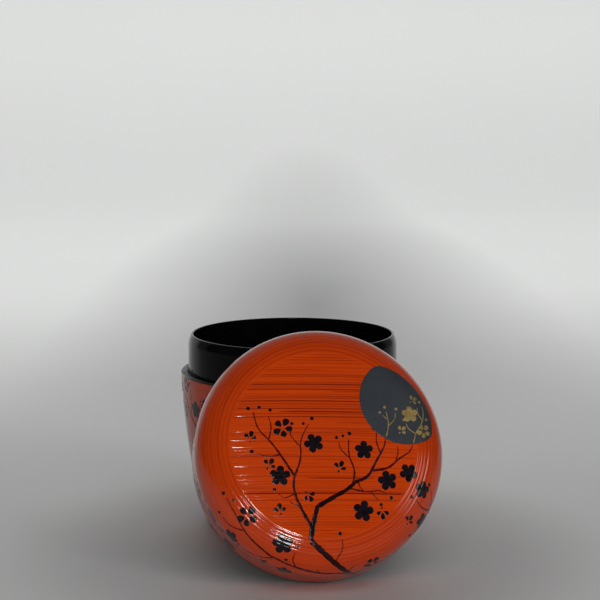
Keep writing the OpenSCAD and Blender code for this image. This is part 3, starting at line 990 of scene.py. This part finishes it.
CAP_DRAWING = CAP_STROKES, CAP_OPEN, CAP_LOOSE, CAP_HALF_OPEN, CAP_BUDS
GOLD_DRAWING = GOLD_STROKES, GOLD_OPEN, GOLD_LOOSE, GOLD_HALF_OPEN, GOLD_BUDS
SPRAY = SPRAY_STROKES, SPRAY_OPEN, SPRAY_LOOSE, SPRAY_HALF_OPEN, SPRAY_BUDS
LOW_SPRAY = LOW_STROKES, LOW_OPEN, LOW_LOOSE, LOW_HALF_OPEN, LOW_BUDS
# Places of the sprays: the distance and the turns on the cap's wall, and drops and turns on the cup's side
LOW_S, LOW_TURNS = 44.4, (18, 82, 150, 208)
CUP_SPOTS = ((13.5, 207), (22.0, 318), (15.0, 62), (24.0, 132))

make_cup()
make_cup_coat()
make_cap()
make_cap_coat()
make_moon()
low_sprays = [(round_cap(LOW_S, math.radians(turn)), LOW_SPRAY) for turn in LOW_TURNS]
paint("cap", "lid", [(over_crown(), CAP_DRAWING), *low_sprays], TWIG, PETAL)
paint("moon", "lid", [(over_crown(MOON_TOP), GOLD_DRAWING)], GOLD, GOLD)
paint("cup", "body", [(round_cup(drop, math.radians(turn)), SPRAY) for drop, turn in CUP_SPOTS], TWIG, PETAL)


# Stage: a pale floor that sweeps up into a backdrop, soft lights and the camera. Lengths are in metres here

# Glow of the stage: the strengths at a start and an end, and where those are, in y, in z, in width for the
# distance behind the object, in z again and in distance from the object's middle
GLOW_BACK, GLOW_UP = (0.0, 0.345, -0.05, 0.55), (0.0, 0.10, 0.0, 0.2)
GLOW_FAN, GLOW_TOP = (1.0, 0.0, 0.8, 1.0), (1.0, 0.15, 0.35, 1.0)
GLOW_ROUND, GLOW_MIDDLE, FAN_FROM = (0.0, 0.095, 0.05, 0.10), (0.0, -0.03, 0.0), 0.1
# Dome of shade behind the object: its middle, turn, half lengths, share of the glow in its middle and the y
# over which it sets in
DOME_AT, DOME_TURN, DOME_SIZE = (0.072, 0.45, 0.0), (0.0, 0.0, -0.134), (0.145, 0.87, 0.17)
DOME_LEAST, DOME_FROM = 0.04, (0.03, 0.25)

# Lights: azimuth, elevation, distance, width, height, radiance, mirrored in the gloss, floor spared
LIGHTS = {
    "window_low": (-7.5, 5.0, 1.5, 0.22, 0.34, 38.0, True, True),
    "window_left": (-11.0, 24.0, 2.4, 0.17, 0.36, 27.0, True, True),
    "window_right": (41.0, 20.0, 2.4, 0.55, 0.85, 4.0, True, False),
    "front_soft": (4.0, 45.0, 1.9, 1.6, 1.2, 1.05, False, False),
    "back_soft": (180.0, 45.0, 1.3, 1.4, 0.9, 0.65, False, False),
}
LIGHT_AIM = Vector((0.0, -0.04, 0.03))
ROOM_COLOUR, ROOM_STRENGTH = (0.97, 0.99, 1.0, 1), 0.05

# Camera: its place, how far it is turned to the right and down, its lens and its sensor in millimetres
VIEW_AT = (-0.05996, -0.46003, 0.13187)
VIEW_YAW, VIEW_PITCH = 0.1344, 0.1385
VIEW_LENS, VIEW_SENSOR = 95.17, 36.0


def pale_floor(add, place):
    """Matt pale paint that glows where the camera, gloss or clear glass sees it: round the object but not
    near its middle, which leaves a painted shade on the floor there, and more behind it, within a fan and
    less at the top. An ellipsoid behind the object dims the glow, a painted shade on the backdrop."""
    colour = ramp(add, noise(add, place, 9.0, 3.0), [(0.3, (0.79, 0.795, 0.79)), (0.7, (0.82, 0.825, 0.82))])
    x, y, z = add("ShaderNodeSeparateXYZ", {0: place}).outputs

    def step(value, *ends):
        return spread(add, value, *ends, "SMOOTHSTEP")

    dome = add("ShaderNodeMapping", {"Vector": place, "Location": DOME_AT, "Rotation": DOME_TURN,
                                     "Scale": DOME_SIZE}, vector_type="TEXTURE").outputs[0]
    off = add("ShaderNodeVectorMath", {0: dome}, operation="LENGTH").outputs["Value"]
    away = add("ShaderNodeVectorMath", {0: place, 1: GLOW_MIDDLE}, operation="DISTANCE").outputs["Value"]
    wide = calc(add, "DIVIDE", calc(add, "ABSOLUTE", x), calc(add, "ADD", y, FAN_FROM))
    back = sum_of(add, step(y, *GLOW_BACK), step(z, *GLOW_UP))
    back = calc(add, "MULTIPLY", calc(add, "MULTIPLY", back, step(wide, *GLOW_FAN)), step(z, *GLOW_TOP))
    # Painted shade: the dome dims the glow behind the object, and the glow held back near the object's middle
    # darkens the floor round it.
    dimmed = step(y, 1.0, spread(add, off, DOME_LEAST, 1.0), *DOME_FROM)
    glow = calc(add, "MULTIPLY", sum_of(add, back, step(away, *GLOW_ROUND)), dimmed)
    rays = add("ShaderNodeLightPath").outputs
    seen = sum_of(add, sum_of(add, rays["Is Camera Ray"], rays["Is Glossy Ray"]), rays["Is Transmission Ray"])
    return {"Base Color": colour, "Roughness": 0.6, "IOR": 1.4, "Emission Color": (0.98, 1.0, 0.98, 1),
            "Emission Strength": calc(add, "MULTIPLY", glow, seen)}


def make_stage():
    """One sheet: level floor, a quarter circle behind, and an upright backdrop, carried along x."""
    half, front, back, bend, top = 3.0, -3.0, 1.0, 0.5, 2.4
    sweep = arc(np.array([back, bend]), bend, -math.pi / 2, 0, 24)
    side = np.concatenate([[[front, 0.0]], sweep, [[back + bend, top]]])
    x = np.array([-half, half])
    points = np.stack([x + 0 * side[:, :1], side[:, :1] + 0 * x, side[:, 1:] + 0 * x], -1).reshape(-1, 3)
    faces = grid_faces(len(side), 2, close_columns=False).tolist()
    floor = new_object("stage_floor", points, faces, material_of("pale_floor", pale_floor))
    return floor


def make_light(name, azimuth, elevation, distance, width, height, radiance, mirrored, spared):
    """A soft rectangular light of a given radiance, turned to the object from an azimuth (0 in front, and
    positive to the right) and an elevation, in degrees. The gloss shows it where it is mirrored, and a
    spared object isn't lit by it."""
    a, e = math.radians(azimuth), math.radians(elevation)
    back = Vector((math.sin(a) * math.cos(e), -math.cos(a) * math.cos(e), math.sin(e)))
    light = bpy.data.lights.new(name, "AREA")
    light.shape = "RECTANGLE"
    light.size, light.size_y = width, height
    light.energy = radiance * math.pi * width * height
    lamp = bpy.data.objects.new(name, light)
    lamp.location = LIGHT_AIM + back * distance
    lamp.rotation_euler = back.to_track_quat("Z", "Y").to_euler()
    lamp.visible_camera = False
    lamp.visible_glossy = mirrored
    bpy.context.scene.collection.objects.link(lamp)
    if spared:
        unlit = bpy.data.collections.new(name + "_spares")
        unlit.objects.link(spared)
        unlit.collection_objects[0].light_linking.link_state = "EXCLUDE"
        lamp.light_linking.receiver_collection = unlit


def make_camera():
    """The camera: a long lens, a little left of the middle, looking slightly down."""
    data = bpy.data.cameras.new("view")
    data.lens, data.sensor_width = VIEW_LENS, VIEW_SENSOR
    data.clip_start, data.clip_end = 0.01, 50.0
    ahead = Vector((math.sin(VIEW_YAW) * math.cos(VIEW_PITCH), math.cos(VIEW_YAW) * math.cos(VIEW_PITCH),
                    -math.sin(VIEW_PITCH)))
    camera = bpy.data.objects.new("view", data)
    camera.location = VIEW_AT
    camera.rotation_euler = ahead.to_track_quat("-Z", "Y").to_euler()
    bpy.context.scene.collection.objects.link(camera)
    bpy.context.scene.camera = camera


stage_floor = make_stage()
for light_name, (*sizes, mirrored, spares_floor) in LIGHTS.items():
    make_light(light_name, *sizes, mirrored, stage_floor if spares_floor else None)
world = bpy.data.worlds.new("room")
bpy.context.scene.world = world
world.use_nodes = True
background = world.node_tree.nodes["Background"].inputs
background[0].default_value, background[1].default_value = ROOM_COLOUR, ROOM_STRENGTH
make_camera()
bpy.context.scene.view_settings.view_transform = "Standard"
